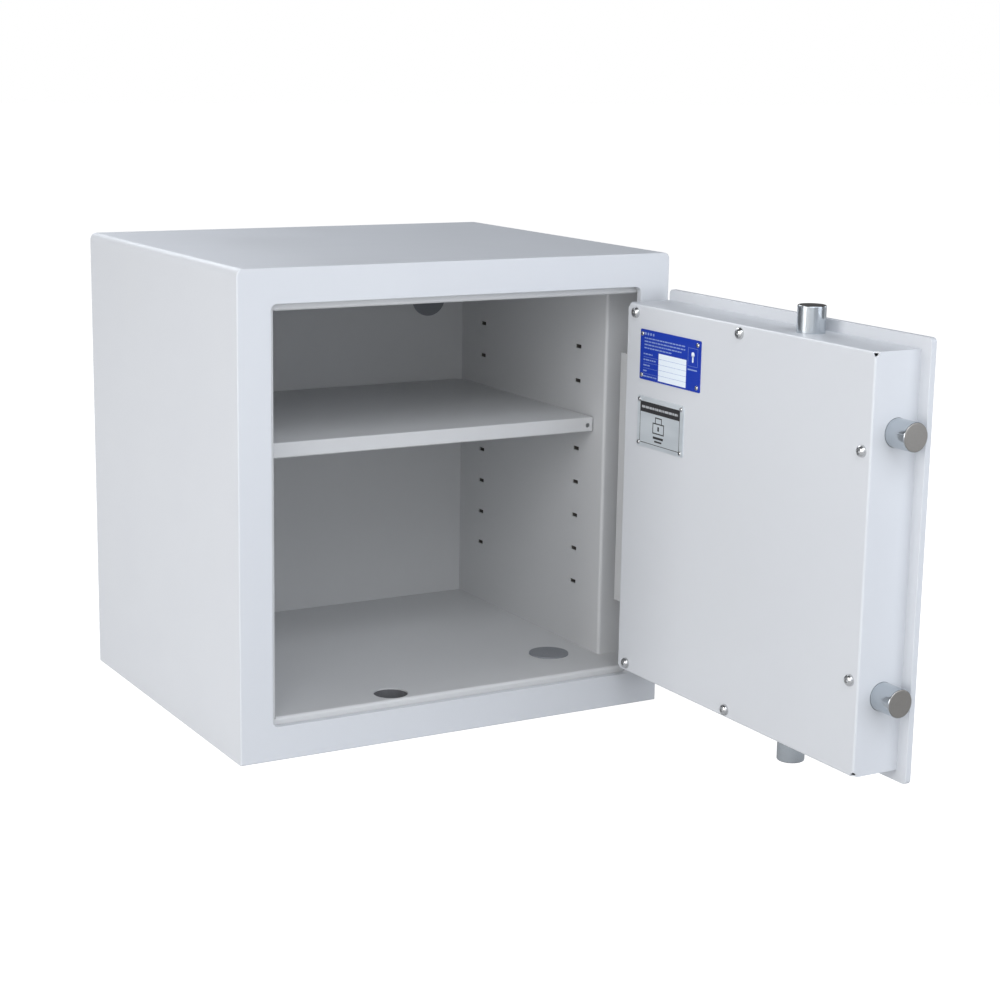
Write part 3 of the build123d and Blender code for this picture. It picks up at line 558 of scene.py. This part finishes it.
class SAFE_OT_handle(bpy.types.Operator):
    """Shape the lever handle: a turned hub and a grip that swells, flattens and rounds off at its end"""
    bl_idname = "safe.handle"
    bl_label = "Lever handle"

    def execute(self, context):
        props = context.scene.safe_handle
        nickel = metal("satin nickel casting", "#c8c6c2", "#bbb9b5", 0.27, 0.8, (1, 1, 4), 0.3, 0.05)
        paint(["handle_rosette", "key_escutcheon"], nickel)
        low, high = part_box("handle_rosette")
        centre = (low + high) / 2
        face = low.x

        # Grip: superellipse sections of half width swell(t) and half depth depth(t) on the line z = reach t,
        # lifted off the hub by a smooth step; the free end closes along a quarter circle.
        t = np.linspace(0, 1, 72)[:, None]
        end = np.sqrt(np.clip(1 - ((t - 0.93) / 0.07) ** 2, 0, 1))
        end = np.where(t < 0.93, 1, np.maximum(end, 0.02))
        swell = props.grip * (0.86 + 0.22 * np.sin(np.pi * np.clip(t * 1.05, 0, 1)) ** 2) * end
        depth = (0.0072 - 0.0016 * t) * end
        lift = 0.0175 + 0.0045 * (3 * t ** 2 - 2 * t ** 3)
        angle = np.linspace(0, 2 * np.pi, 48, endpoint=False)[None, :]
        c, s = np.cos(angle), np.sin(angle)
        section_y = swell * np.sign(c) * np.abs(c) ** 0.8
        section_x = depth * np.sign(s) * np.abs(s) ** 0.8
        points = np.stack([face + lift + section_x, centre.y + section_y,
                           centre.z + props.reach * t + 0 * section_y], axis=-1)
        grip = add_piece("lever_grip", points, tube_faces(72, 48), nickel, "handle")
        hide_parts("handle")

        # Hub: a turned profile, radius against height off the door, rounded at its free end.
        profile = np.array([[13.6, 5.4], [14.4, 5.8], [14.4, 9], [12.6, 12], [12.0, 15], [12.4, 20], [12.6, 25],
                            [12.2, 27.2], [10.8, 28.8], [8.4, 29.7], [4.5, 30.0], [0.3, 30.1]]) * MM
        steps = np.linspace(0, len(profile) - 1, 60)
        radius = np.interp(steps, np.arange(len(profile)), profile[:, 0])[:, None]
        height = np.interp(steps, np.arange(len(profile)), profile[:, 1])[:, None]
        points = np.stack([face + height + 0 * c, centre.y + radius * c, centre.z + radius * s], axis=-1)
        hub = add_piece("lever_hub", points, tube_faces(60, 48), nickel, "handle")
        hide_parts("handle")
        return {"FINISHED"}


# Soft boxes round the object: name, degrees round from the front, degrees up, share of the power, tint
SOFT_BOXES = (
    ("side_box", -90, 8, 0.252, "#fffdfb"), ("side_front_box", -60, 8, 0.080, "#fffdfb"),
    ("front_left_low", -30, 8, 0.067, "#fafcff"), ("front_right_low", 30, 8, 0.111, "#f4f8ff"),
    ("front_low", 0, 8, 0.025, "#f4f8ff"), ("front_left_high", -30, 42, 0.110, "#fafcff"),
    ("front_high", 0, 42, 0.111, "#f4f8ff"), ("front_right_high", 30, 42, 0.033, "#f4f8ff"),
    ("back_high", 180, 40, 0.221, "#f4f8ff"), ("far_side_box", 90, 8, 0.060, "#fafcff"),
)


class SAFE_OT_stage(bpy.types.Operator):
    """Lay a plain pale floor, light it softly and place the camera"""
    bl_idname = "safe.stage"
    bl_label = "Studio"

    def execute(self, context):
        scene, props = context.scene, context.scene.safe_stage
        scene.view_settings.view_transform = "Standard"
        half = props.floor_size / 2
        mesh = bpy.data.meshes.new("studio_floor")
        corners = [(-half, -half, 0), (half, -half, 0), (half, half, 0), (-half, half, 0)]
        mesh.from_pydata(corners, [], [(0, 1, 2, 3)])
        material, tree = new_material("pale studio floor")
        matt = add_node(tree, "ShaderNodeBsdfDiffuse", {"Color": linear("#dadada")})
        thin = add_node(tree, "ShaderNodeBsdfDiffuse", {"Color": linear("#8c8c8c")})
        glow = add_node(tree, "ShaderNodeEmission", {"Color": linear("#ffffff"), "Strength": 1.0})
        lit = add_node(tree, "ShaderNodeAddShader", {0: thin.outputs[0], 1: glow.outputs[0]})
        ray = add_node(tree, "ShaderNodeLightPath")
        shader = add_node(tree, "ShaderNodeMixShader", {0: ray.outputs["Is Camera Ray"], 1: matt.outputs[0],
                                                        2: lit.outputs[0]})
        mesh.materials.append(finish_material(material, tree, shader))
        floor = bpy.data.objects.new("studio_floor", mesh)
        scene.collection.objects.link(floor)

        world = bpy.data.worlds.new("studio")
        scene.world = world
        world.use_nodes = True
        tree = world.node_tree
        tree.nodes.clear()
        room = add_node(tree, "ShaderNodeBackground", {"Color": linear("#eef2f8"), "Strength": props.sky})
        white = add_node(tree, "ShaderNodeBackground", {"Color": linear("#ffffff"), "Strength": 1.0})
        seen = add_node(tree, "ShaderNodeLightPath")
        mix = add_node(tree, "ShaderNodeMixShader", {0: seen.outputs["Is Camera Ray"], 1: room.outputs[0],
                                                     2: white.outputs[0]})
        add_node(tree, "ShaderNodeOutputWorld", {"Surface": mix.outputs[0]})

        middle = Vector((0, -0.15, 0.22))
        for name, around, above, share, tint in SOFT_BOXES:
            light = bpy.data.lights.new(name, "AREA")
            light.size, light.energy, light.color = props.box_size, props.power * share, linear(tint)[:3]
            lamp = bpy.data.objects.new(name, light)
            turn, rise = np.radians((around, above))
            lamp.location = middle + 3.2 * Vector((np.sin(turn) * np.cos(rise), -np.cos(turn) * np.cos(rise),
                                                   np.sin(rise)))
            lamp.location.z = max(lamp.location.z, 0.92)
            lamp.rotation_mode = "QUATERNION"
            lamp.rotation_quaternion = (middle - lamp.location).to_track_quat("-Z", "Y")
            scene.collection.objects.link(lamp)

        azimuth, elevation, roll = np.radians((-29.942, 12.073, 0.995))
        back = Vector((np.sin(azimuth) * np.cos(elevation), -np.cos(azimuth) * np.cos(elevation),
                       np.sin(elevation)))
        right = Vector((0, 0, 1)).cross(back).normalized()
        up = back.cross(right)
        turned_right = np.cos(roll) * right + np.sin(roll) * up
        turned_up = -np.sin(roll) * right + np.cos(roll) * up
        lens = bpy.data.cameras.new("studio_camera")
        lens.lens, lens.sensor_width, lens.clip_end = 75.87, 36.0, 100
        camera = bpy.data.objects.new("studio_camera", lens)
        turn = Matrix((turned_right, turned_up, back)).transposed().to_4x4()
        camera.matrix_world = Matrix.Translation((-0.93075, -1.87636, 0.63886)) @ turn
        scene.collection.objects.link(camera)
        scene.camera = camera
        return {"FINISHED"}


class SAFE_PT_panel(bpy.types.Panel):
    """The steps that finish the safe, in order"""
    bl_label = "Cabinet Safe"
    bl_idname = "SAFE_PT_panel"
    bl_space_type = "VIEW_3D"
    bl_region_type = "UI"
    bl_category = "Safe"

    def draw(self, context):
        for props in ("safe_paint", "safe_plate", "safe_handle", "safe_stage"):
            group = getattr(context.scene, props)
            for key in group.__annotations__:
                self.layout.prop(group, key)
        for operator in OPERATORS:
            self.layout.operator(operator.bl_idname)


OPERATORS = (SAFE_OT_cabinet, SAFE_OT_door, SAFE_OT_boltwork, SAFE_OT_data_plate, SAFE_OT_mark_plate,
             SAFE_OT_handle, SAFE_OT_stage)
GROUPS = (("safe_paint", SafePaintProps), ("safe_plate", SafePlateProps), ("safe_handle", SafeHandleProps),
          ("safe_stage", SafeStageProps))


def register():
    for name, group in GROUPS:
        bpy.utils.register_class(group)
        setattr(bpy.types.Scene, name, bpy.props.PointerProperty(type=group))
    for operator in OPERATORS:
        bpy.utils.register_class(operator)
    bpy.utils.register_class(SAFE_PT_panel)


def unregister():
    bpy.utils.unregister_class(SAFE_PT_panel)
    for operator in reversed(OPERATORS):
        bpy.utils.unregister_class(operator)
    for name, group in reversed(GROUPS):
        delattr(bpy.types.Scene, name)
        bpy.utils.unregister_class(group)


def main():
    """Run every step in order."""
    register()
    bpy.ops.safe.cabinet()
    bpy.ops.safe.door()
    bpy.ops.safe.boltwork()
    bpy.ops.safe.data_plate()
    bpy.ops.safe.mark_plate()
    bpy.ops.safe.handle()
    bpy.ops.safe.stage()


if __name__ == "__main__":
    main()
